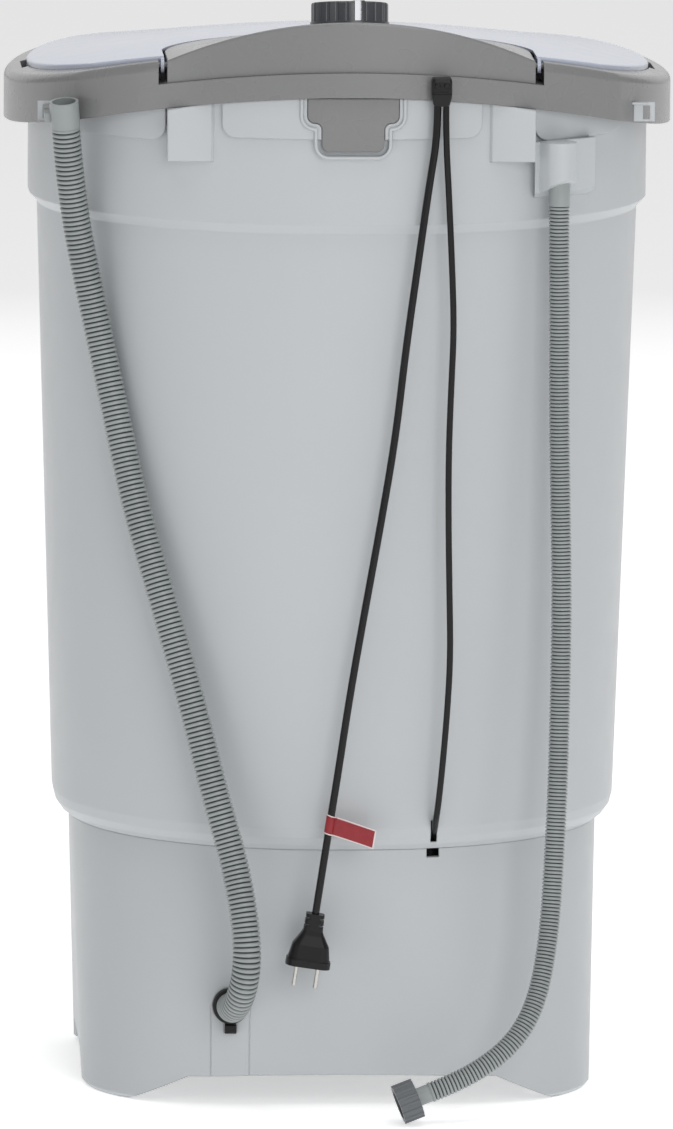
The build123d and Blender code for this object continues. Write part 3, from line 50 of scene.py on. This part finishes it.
# Cord routes, in metres, as in the CAD model
POWER_CORD = [
    (0.0725, -0.279, 0.889), (0.0725, -0.279, 0.862), (0.066, -0.278, 0.820), (0.057, -0.277, 0.752),
    (0.047, -0.275, 0.676), (0.039, -0.274, 0.600), (0.027, -0.272, 0.524), (0.0125, -0.271, 0.440),
    (0.001, -0.2692, 0.370), (-0.0086, -0.2682, 0.302), (-0.0209, -0.2661, 0.220), (-0.027, -0.265, 0.178),
]
MOTOR_CABLE = [
    (0.080, -0.279, 0.889), (0.080, -0.279, 0.862), (0.083, -0.276, 0.815), (0.0865, -0.274, 0.752),
    (0.089, -0.272, 0.694), (0.087, -0.270, 0.640), (0.0855, -0.268, 0.582), (0.086, -0.267, 0.522),
    (0.0875, -0.2655, 0.462), (0.089, -0.2645, 0.404), (0.0865, -0.2625, 0.352), (0.083, -0.2605, 0.306),
    (0.080, -0.256, 0.272), (0.0785, -0.247, 0.257), (0.078, -0.234, 0.245), (0.078, -0.214, 0.234),
    (0.0805, -0.191, 0.222), (0.086, -0.170, 0.214),
]
DRAIN_HOSE = [
    (-0.099, -0.222, 0.089), (-0.099, -0.246, 0.089), (-0.095, -0.264, 0.097), (-0.091, -0.277, 0.111),
    (-0.088, -0.284, 0.130), (-0.0875, -0.285, 0.152), (-0.091, -0.279, 0.185), (-0.099, -0.268, 0.226),
    (-0.116, -0.258, 0.284), (-0.135, -0.246, 0.360), (-0.160, -0.230, 0.446), (-0.186, -0.210, 0.534),
    (-0.204, -0.192, 0.620), (-0.219, -0.181, 0.690), (-0.234, -0.181, 0.760), (-0.243, -0.188, 0.820),
    (-0.2465, -0.1955, 0.861),
]
INLET_HOSE = [
    (0.182, -0.2345, 0.797), (0.182, -0.2345, 0.760), (0.1835, -0.234, 0.700), (0.1835, -0.235, 0.627),
    (0.1855, -0.237, 0.539), (0.1875, -0.240, 0.451), (0.1865, -0.244, 0.363), (0.185, -0.250, 0.291),
    (0.1815, -0.258, 0.218), (0.1785, -0.264, 0.172), (0.174, -0.272, 0.138), (0.167, -0.281, 0.107),
    (0.156, -0.290, 0.083), (0.139, -0.298, 0.063), (0.116, -0.305, 0.047), (0.092, -0.309, 0.035),
    (0.072, -0.311, 0.0275),
]


# Sockets of a colour Mix node, which have the same names as its float ones
MIX_SHARE, MIX_FIRST, MIX_SECOND, MIX_COLOUR = 0, 6, 7, 2


# Materials
def shader(name):
    """New material with its principled shader and its object coordinates."""
    material = bpy.data.materials.new(name)
    material.use_nodes = True
    tree = material.node_tree
    return material, tree, tree.nodes["Principled BSDF"], tree.nodes.new("ShaderNodeTexCoord")


def noise(tree, coord, scale, detail=3.0, stretch=None):
    """Noise on object coordinates, stretched along axes where asked."""
    source = coord.outputs["Object"]
    if stretch:
        mapping = tree.nodes.new("ShaderNodeMapping")
        mapping.inputs["Scale"].default_value = stretch
        tree.links.new(source, mapping.inputs["Vector"])
        source = mapping.outputs["Vector"]
    texture = tree.nodes.new("ShaderNodeTexNoise")
    texture.inputs["Scale"].default_value = scale
    texture.inputs["Detail"].default_value = detail
    tree.links.new(source, texture.inputs["Vector"])
    return texture.outputs["Fac"]


def ramp(tree, value, stops):
    """Colour ramp over a value, from (position, colour) stops."""
    node = tree.nodes.new("ShaderNodeValToRGB")
    elements = node.color_ramp.elements
    while len(elements) < len(stops):
        elements.new(0.5)
    for element, (position, colour) in zip(elements, stops):
        element.position = position
        element.color = (*colour, 1.0)
    tree.links.new(value, node.inputs["Fac"])
    return node.outputs["Color"]


def spread(tree, value, low, high):
    """Value mapped from the noise's middle range to low..high."""
    node = tree.nodes.new("ShaderNodeMapRange")
    node.inputs["From Min"].default_value = 0.3
    node.inputs["From Max"].default_value = 0.7
    node.inputs["To Min"].default_value = low
    node.inputs["To Max"].default_value = high
    tree.links.new(value, node.inputs["Value"])
    return node.outputs["Result"]


def bump(tree, height, strength, distance, bevel=0.0):
    """Bump normal, over softened edges where a bevel radius is given."""
    node = tree.nodes.new("ShaderNodeBump")
    node.inputs["Strength"].default_value = strength
    node.inputs["Distance"].default_value = distance
    tree.links.new(height, node.inputs["Height"])
    if bevel:
        soft = tree.nodes.new("ShaderNodeBevel")
        soft.samples = 4
        soft.inputs["Radius"].default_value = bevel
        tree.links.new(soft.outputs["Normal"], node.inputs["Normal"])
    return node.outputs["Normal"]


def tone(colour, factor):
    """Colour made lighter or darker by a factor."""
    return tuple(min(channel * factor, 1.0) for channel in colour)


def moulded(name, colour, roughness, grain, depth, bevel, variation=0.03, coat=0.0, metallic=0.0,
            stretch=None, specular=0.5):
    """Moulded, cast or drawn material: soft colour drift, uneven gloss and a fine surface grain.

    grain is the grain's noise scale, depth its height and bevel the radius of the softened edges, in metres.
    """
    material, tree, principled, coord = shader(name)
    drift = noise(tree, coord, 9.0, 1.0)
    stops = [(0.35, tone(colour, 1 - variation)), (0.65, tone(colour, 1 + variation))]
    tree.links.new(ramp(tree, drift, stops), principled.inputs["Base Color"])
    haze = noise(tree, coord, 45.0, 1.0, stretch)
    uneven = spread(tree, haze, roughness * 0.93, roughness * 1.07)
    tree.links.new(uneven, principled.inputs["Roughness"])
    fine = noise(tree, coord, grain, 2.0, stretch)
    tree.links.new(bump(tree, fine, 0.5, depth, bevel), principled.inputs["Normal"])
    principled.inputs["Metallic"].default_value = metallic
    principled.inputs["Specular IOR Level"].default_value = specular
    if coat:
        principled.inputs["Coat Weight"].default_value = coat
        principled.inputs["Coat Roughness"].default_value = 0.12
    return material


MATERIALS = {
    "body_white": moulded("body_plastic", (0.50, 0.522, 0.538), 0.36, 900, 0.00002, 0.0022,
                          0.004, specular=0.32),
    "cover_grey": moulded("cover_plastic", (0.205, 0.205, 0.207), 0.28, 1400, 0.000006, 0.0012,
                          0.008, coat=0.22),
    "lid_tint": moulded("lid_plastic", (0.50, 0.535, 0.64), 0.2, 500, 0.000008, 0.0008, 0.008,
                        coat=0.1),
    "hose_grey": moulded("hose_plastic", (0.30, 0.325, 0.327), 0.36, 1500, 0.00005, 0.0003, 0.05),
    "trim_white": moulded("trim_plastic", (0.50, 0.525, 0.54), 0.34, 1200, 0.00002, 0.0012, 0.015),
    "black_plastic": moulded("black_plastic", (0.009, 0.009, 0.010), 0.34, 1500, 0.00004, 0.0006,
                             0.12, specular=0.25),
    "knob_dark": moulded("knob_plastic", (0.065, 0.07, 0.08), 0.3, 1600, 0.00004, 0.0005, 0.08,
                         coat=0.15),
    "chrome": moulded("chrome", (0.22, 0.225, 0.235), 0.14, 700, 0.00001, 0.0004, 0.02,
                      metallic=1.0),
    "rubber": moulded("black_rubber", (0.012, 0.012, 0.012), 0.62, 1800, 0.00008, 0.0005, 0.2),
    "lead_black": moulded("lead_sheath", (0.005, 0.005, 0.006), 0.24, 1500, 0.00002, 0.0, 0.15,
                          specular=0.28),
    "nut_grey": moulded("nut_plastic", (0.125, 0.135, 0.145), 0.45, 1300, 0.00006, 0.0006, 0.06),
    "steel": moulded("drawn_steel", (0.55, 0.55, 0.56), 0.30, 240, 0.00004, 0.0005, 0.06,
                     metallic=1.0,
                     stretch=(1.0, 1.0, 12.0)),
    "brass": moulded("pin_brass", (0.52, 0.51, 0.49), 0.22, 300, 0.00002, 0.0004, 0.05,
                     metallic=1.0,
                     stretch=(1.0, 1.0, 10.0)),
    "bronze": moulded("bush_bronze", (0.42, 0.27, 0.13), 0.4, 900, 0.00006, 0.0004, 0.1,
                      metallic=1.0),
    "alloy": moulded("cast_alloy", (0.5, 0.51, 0.52), 0.45, 420, 0.0002, 0.0008, 0.06,
                     metallic=1.0),
    "motor_case": moulded("motor_paint", (0.035, 0.042, 0.05), 0.38, 260, 0.0001, 0.001, 0.08,
                          coat=0.2),
    "pulsator_blue": moulded("pulsator_plastic", (0.32, 0.43, 0.6), 0.3, 900, 0.00004, 0.0015,
                             0.03, coat=0.1),
}


def paint_groove_shade(material):
    """Darkens a hose's material by the groove attribute of its mesh: painted shade in the grooves."""
    tree = material.node_tree
    base = tree.nodes["Principled BSDF"].inputs["Base Color"]
    attribute = tree.nodes.new("ShaderNodeAttribute")
    attribute.attribute_name = "groove"
    mix = tree.nodes.new("ShaderNodeMix")
    mix.data_type = "RGBA"
    tree.links.new(attribute.outputs["Fac"], mix.inputs[MIX_SHARE])
    tree.links.new(base.links[0].from_socket, mix.inputs[MIX_FIRST])
    # Near-black colour mixed in by groove depth: painted shade in the grooves
    mix.inputs[MIX_SECOND].default_value = (0.025, 0.03, 0.03, 1.0)
    tree.links.new(mix.outputs[MIX_COLOUR], base)


def label_red():
    """Printed label stock: red field in a pale border."""
    material, tree, principled, coord = shader("label_red")
    split = tree.nodes.new("ShaderNodeSeparateXYZ")
    tree.links.new(coord.outputs["UV"], split.inputs["Vector"])
    masks = []
    for channel, low, high in (("X", -0.1, 0.965), ("Y", 0.06, 0.94)):
        for threshold, operation in ((low, "GREATER_THAN"), (high, "LESS_THAN")):
            node = tree.nodes.new("ShaderNodeMath")
            node.operation = operation
            node.inputs[1].default_value = threshold
            tree.links.new(split.outputs[channel], node.inputs[0])
            masks.append(node.outputs[0])
    inside = masks[0]
    for mask in masks[1:]:
        node = tree.nodes.new("ShaderNodeMath")
        node.operation = "MULTIPLY"
        tree.links.new(inside, node.inputs[0])
        tree.links.new(mask, node.inputs[1])
        inside = node.outputs[0]
    print_drift = noise(tree, coord, 160.0)
    field = ramp(tree, print_drift, [(0.3, (0.23, 0.006, 0.012)), (0.7, (0.28, 0.009, 0.016))])
    mix = tree.nodes.new("ShaderNodeMix")
    mix.data_type = "RGBA"
    mix.inputs[MIX_FIRST].default_value = (0.75, 0.66, 0.66, 1.0)
    tree.links.new(inside, mix.inputs[MIX_SHARE])
    tree.links.new(field, mix.inputs[MIX_SECOND])
    tree.links.new(mix.outputs[MIX_COLOUR], principled.inputs["Base Color"])
    principled.inputs["Roughness"].default_value = 0.4
    fine = noise(tree, coord, 1200.0)
    tree.links.new(bump(tree, fine, 0.3, 0.00003), principled.inputs["Normal"])
    return material


MATERIALS["tag_red"] = label_red()
# Painted shade in the hose grooves
paint_groove_shade(MATERIALS["hose_grey"])


# Cords
def route_curve(name, points):
    """Open NURBS curve with a route's points as its control points."""
    curve = bpy.data.curves.new(name, "CURVE")
    curve.dimensions = "3D"
    curve.resolution_u = 24
    spline = curve.splines.new("NURBS")
    spline.points.add(len(points) - 1)
    for target, point in zip(spline.points, points):
        target.co = (*point, 1.0)
    spline.order_u = 3
    spline.use_endpoint_u = True
    piece = bpy.data.objects.new(name, curve)
    bpy.context.scene.collection.objects.link(piece)
    return piece


def centreline(points):
    """Points read from a route's NURBS curve, from its exit to its far end."""
    guide = route_curve("route_guide", points)
    bpy.context.view_layer.update()
    mesh = bpy.data.meshes.new_from_object(guide)
    line = [vertex.co.copy() for vertex in mesh.vertices]
    bpy.data.meshes.remove(mesh)
    bpy.data.objects.remove(guide)
    return line


def round_lead(name, points, diameter):
    """Round flexible lead along its route."""
    piece = route_curve(name, points)
    piece.data.bevel_depth = diameter / 2
    piece.data.bevel_resolution = 8
    piece.data.use_fill_caps = True
    piece.data.materials.append(MATERIALS["lead_black"])
    return piece


def spaced(line, step):
    """Points at an even step along a line."""
    lengths = [0.0]
    for first, second in zip(line, line[1:]):
        lengths.append(lengths[-1] + (second - first).length)
    count = int(lengths[-1] / step)
    places = []
    index = 0
    for number in range(count + 1):
        target = lengths[-1] * number / count
        while index < len(line) - 2 and lengths[index + 1] < target:
            index += 1
        share = (target - lengths[index]) / max(lengths[index + 1] - lengths[index], 1e-9)
        places.append(line[index].lerp(line[index + 1], share))
    return places


def skin(bm, rings):
    """Faces between rings of equal length, and a cap at each end."""
    for first, second in zip(rings, rings[1:]):
        for number in range(len(first)):
            after = (number + 1) % len(first)
            bm.faces.new((first[number], first[after], second[after], second[number]))
    bm.faces.new(rings[0][::-1])
    bm.faces.new(rings[-1])


def finish_mesh(name, bm, material, smooth=True):
    """Object from a bmesh."""
    mesh = bpy.data.meshes.new(name)
    bmesh.ops.recalc_face_normals(bm, faces=bm.faces)
    bm.to_mesh(mesh)
    bm.free()
    for polygon in mesh.polygons:
        polygon.use_smooth = smooth
    mesh.materials.append(material)
    piece = bpy.data.objects.new(name, mesh)
    bpy.context.scene.collection.objects.link(piece)
    return piece


# One rib's profile: share of the pitch along the hose, and depth of the surface there as a share of the groove
RIB = [(0.0, 1.0), (0.13, 1.0), (0.25, 0.22), (0.38, 0.03), (0.56, 0.0), (0.74, 0.03), (0.88, 0.22)]
# Step along the hose's centreline, and how many steps each way its direction is taken over
FINE_STEP = 0.0004
BEND_REACH = 6


def corrugated(name, line, diameter, pitch, groove, sides):
    """Hose with rounded ribs along a centreline."""
    total = sum((b - a).length for a, b in zip(line, line[1:]))
    ribs = round(total / pitch)
    rib = total / ribs
    stations = [(number + share) * rib for number in range(ribs) for share, _ in RIB] + [total]
    depths = [depth for _ in range(ribs) for _, depth in RIB] + [0.0]
    fine = spaced(line, FINE_STEP)
    bm = bmesh.new()
    mark = bm.verts.layers.float.new("groove")
    side = None
    rings = []
    for station, depth in zip(stations, depths):
        index = min(int(station / total * (len(fine) - 1)), len(fine) - 2)
        share = station / total * (len(fine) - 1) - index
        point = fine[index].lerp(fine[index + 1], share)
        low, high = max(index - BEND_REACH, 0), min(index + 1 + BEND_REACH, len(fine) - 1)
        way = (fine[high] - fine[low]).normalized()
        side = way.orthogonal() if side is None else side - way * side.dot(way)
        side.normalize()
        other = way.cross(side)
        radius = diameter / 2 - groove * depth
        ring = []
        for number in range(sides):
            angle = 2 * math.pi * number / sides
            vertex = bm.verts.new(point + (side * math.cos(angle) + other * math.sin(angle)) * radius)
            vertex[mark] = depth
            ring.append(vertex)
        rings.append(ring)
    skin(bm, rings)
    return finish_mesh(name, bm, MATERIALS["hose_grey"])


def stand_in(piece, node):
    """Puts a piece on the machine in place of a CAD node."""
    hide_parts(node)
    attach(piece, "machine")


power_cord = round_lead("power_lead", POWER_CORD, diameter=0.0066)
motor_cable = round_lead("motor_lead", MOTOR_CABLE, diameter=0.0056)
drain_line = centreline(DRAIN_HOSE)
inlet_line = centreline(INLET_HOSE)
drain_hose = corrugated("drain_hose_ribbed", drain_line, diameter=0.025, pitch=0.0042,
                        groove=0.0018, sides=40)
inlet_hose = corrugated("inlet_hose_ribbed", inlet_line, diameter=0.018, pitch=0.00325,
                        groove=0.0013, sides=32)
stand_in(power_cord, "power_cord")
stand_in(motor_cable, "motor_cable")
stand_in(drain_hose, "drain_hose")
stand_in(inlet_hose, "inlet_hose")


# Flag label on the power lead, and the clamp that holds both leads to the rim
def flag_label(name):
    """Strip folded round the lead, its two plies lying together and curling forwards."""
    start, end = Vector(POWER_CORD[-3]), Vector(POWER_CORD[-2])
    way = (end - start).normalized()
    across = way.cross(Vector((0, 1, 0))).normalized()
    front = way.cross(across)
    centre = start + way * 0.0455
    loop, reach, ply, half = 0.0039, 0.041, 0.0003, 0.0085
    droop, curl, ripple = 0.17, 0.0035, 0.0006
    profile = [(reach - (reach - loop) * step / 12, -ply) for step in range(12)]
    for step in range(25):
        angle = math.radians(-6 - 348 * step / 24)
        profile.append((loop * math.cos(angle), loop * math.sin(angle)))
    profile += [(loop + (reach - loop) * step / 12, ply) for step in range(1, 13)]
    bm = bmesh.new()
    uv = bm.loops.layers.uv.new("label")
    grid = []
    for out, depth in profile:
        free = max(out - loop, 0.0) / (reach - loop)
        row = []
        for step in range(7):
            down = half * (step / 3 - 1) + droop * out
            lift = depth + curl * free**2 + ripple * math.sin(3.0 * free + step / 3)
            vertex = bm.verts.new(centre + across * out + front * lift + way * down)
            row.append((vertex, free, step / 6))
        grid.append(row)
    for first, second in zip(grid, grid[1:]):
        for step in range(6):
            corners = (first[step], first[step + 1], second[step + 1], second[step])
            face = bm.faces.new([corner[0] for corner in corners])
            for loop_corner, corner in zip(face.loops, corners):
                loop_corner[uv].uv = corner[1:]
    piece = finish_mesh(name, bm, MATERIALS["tag_red"])
    thickness = piece.modifiers.new("thickness", "SOLIDIFY")
    thickness.thickness = 0.00025
    thickness.offset = 0.0
    return piece


def clamp_body(name):
    """Clamp tapering down to the two leads, with a waist, two screw posts and a rounded front."""
    low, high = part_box("cable_clamp")
    x_mid = (low[0] + high[0]) / 2
    back = low[1] + 0.0165
    corner = 0.0026
    # Height, half width and how far the front stands back
    levels = [
        (0.0, 0.0062, 0.0036), (0.0012, 0.0070, 0.0026), (0.0070, 0.0084, 0.0010), (0.0105, 0.0087, 0.0004),
        (0.0112, 0.0087, 0.0013), (0.0128, 0.0087, 0.0013), (0.0135, 0.0087, 0.0004), (0.0215, 0.0087, 0.0003),
        (0.0238, 0.0083, 0.0007), (0.0248, 0.0074, 0.0018),
    ]
    bm = bmesh.new()
    rings = []
    for height, half, inset in levels:
        ring = [(x_mid + half, back)]
        for centre_x, first in ((half - corner, 0), (corner - half, 90)):
            for step in range(6):
                angle = math.radians(first + 18 * step)
                x = x_mid + centre_x + corner * math.cos(angle)
                ring.append((x, low[1] + inset + corner - corner * math.sin(angle)))
        ring.append((x_mid - half, back))
        rings.append([bm.verts.new((x, y, low[2] + height)) for x, y in ring])
    skin(bm, rings)
    for shift in (-0.004, 0.004):
        place = Matrix.Translation((x_mid + shift, low[1] - 0.0001, low[2] + 0.0182))
        bmesh.ops.create_cone(bm, cap_ends=True, segments=20, radius1=0.0026, radius2=0.0021, depth=0.0014,
                              matrix=place @ Matrix.Rotation(math.pi / 2, 4, "X"))
    piece = finish_mesh(name, bm, MATERIALS["black_plastic"], smooth=False)
    edge = piece.modifiers.new("edge", "BEVEL")
    edge.width = 0.0003
    edge.segments = 2
    edge.limit_method = "ANGLE"
    return piece


cord_label = flag_label("cord_label")
stand_in(cord_label, "cord_tag")
lead_clamp = clamp_body("lead_clamp")
stand_in(lead_clamp, "cable_clamp")

# CAD pieces keep their shapes and take these materials
for entry in frame["record"]["subparts"]:
    target = nodes[entry["node"]]
    material = MATERIALS[entry["material_slot"]]
    for material_slot in target.material_slots:
        material_slot.material = material


# Camera, floor and lights
def aim(location, forward, roll):
    """Pose of a camera or light from its place, its direction and its roll."""
    right = forward.cross(Vector((0, 0, 1))).normalized()
    up = right.cross(forward)
    side = right * math.cos(roll) + up * math.sin(roll)
    top = up * math.cos(roll) - right * math.sin(roll)
    turned = Matrix((side, top, -forward)).transposed().to_4x4()
    return Matrix.Translation(location) @ turned


yaw, pitch, roll = -0.0535, 0.1452, 0.0081
view = Vector((-math.sin(yaw) * math.cos(pitch), math.cos(yaw) * math.cos(pitch), -math.sin(pitch)))
camera_data = bpy.data.cameras.new("camera")
camera_data.sensor_width = 36.0
camera_data.lens = 435.2
camera_data.clip_end = 200.0
camera = bpy.data.objects.new("camera", camera_data)
camera.matrix_world = aim(Vector((-0.6396, -12.0, 2.2046)), view, roll)
bpy.context.scene.collection.objects.link(camera)
bpy.context.scene.camera = camera

FLOOR_HALF = 30
floor_mesh = bpy.data.meshes.new("floor")
corners = [(x * FLOOR_HALF, y * FLOOR_HALF, 0) for x, y in ((-1, -1), (1, -1), (1, 1), (-1, 1))]
floor_mesh.from_pydata(corners, [], [(0, 1, 2, 3)])
floor_object = bpy.data.objects.new("floor", floor_mesh)
bpy.context.scene.collection.objects.link(floor_object)
paper = moulded("floor_paper", (0.93, 0.93, 0.93), 0.8, 30, 0.0001, 0.0, 0.004)
paper_shader = paper.node_tree.nodes["Principled BSDF"]
paper_shader.inputs["Emission Color"].default_value = (1.0, 1.0, 1.0, 1.0)
paper_shader.inputs["Emission Strength"].default_value = 0.5
floor_mesh.materials.append(paper)

world = bpy.data.worlds.new("studio")
world.use_nodes = True
background = world.node_tree.nodes["Background"]
background.inputs["Color"].default_value = (1.0, 1.0, 1.0, 1.0)
background.inputs["Strength"].default_value = 0.27
bpy.context.scene.world = world
bpy.context.scene.view_settings.view_transform = "Standard"


def soft_light(name, location, target, size, energy):
    """Large rectangular studio light aimed at a point."""
    data = bpy.data.lights.new(name, "AREA")
    data.shape = "RECTANGLE"
    data.size, data.size_y = size
    data.energy = energy
    light = bpy.data.objects.new(name, data)
    light.matrix_world = aim(Vector(location), (Vector(target) - Vector(location)).normalized(), 0.0)
    light.visible_camera = False
    bpy.context.scene.collection.objects.link(light)


soft_light("overhead", (0.2, -0.4, 4.4), (0, 0, 0.4), (4.4, 4.4), 95)
soft_light("back_bank", (0.0, 5.0, 2.3), (0, 0, 1.2), (9.0, 3.0), 52)
soft_light("front_bank", (1.3, -4.6, 2.3), (0, 0, 0.5), (2.4, 2.6), 66)
soft_light("left_bank", (-3.2, -2.4, 1.4), (0, 0, 0.5), (1.2, 2.6), 7)
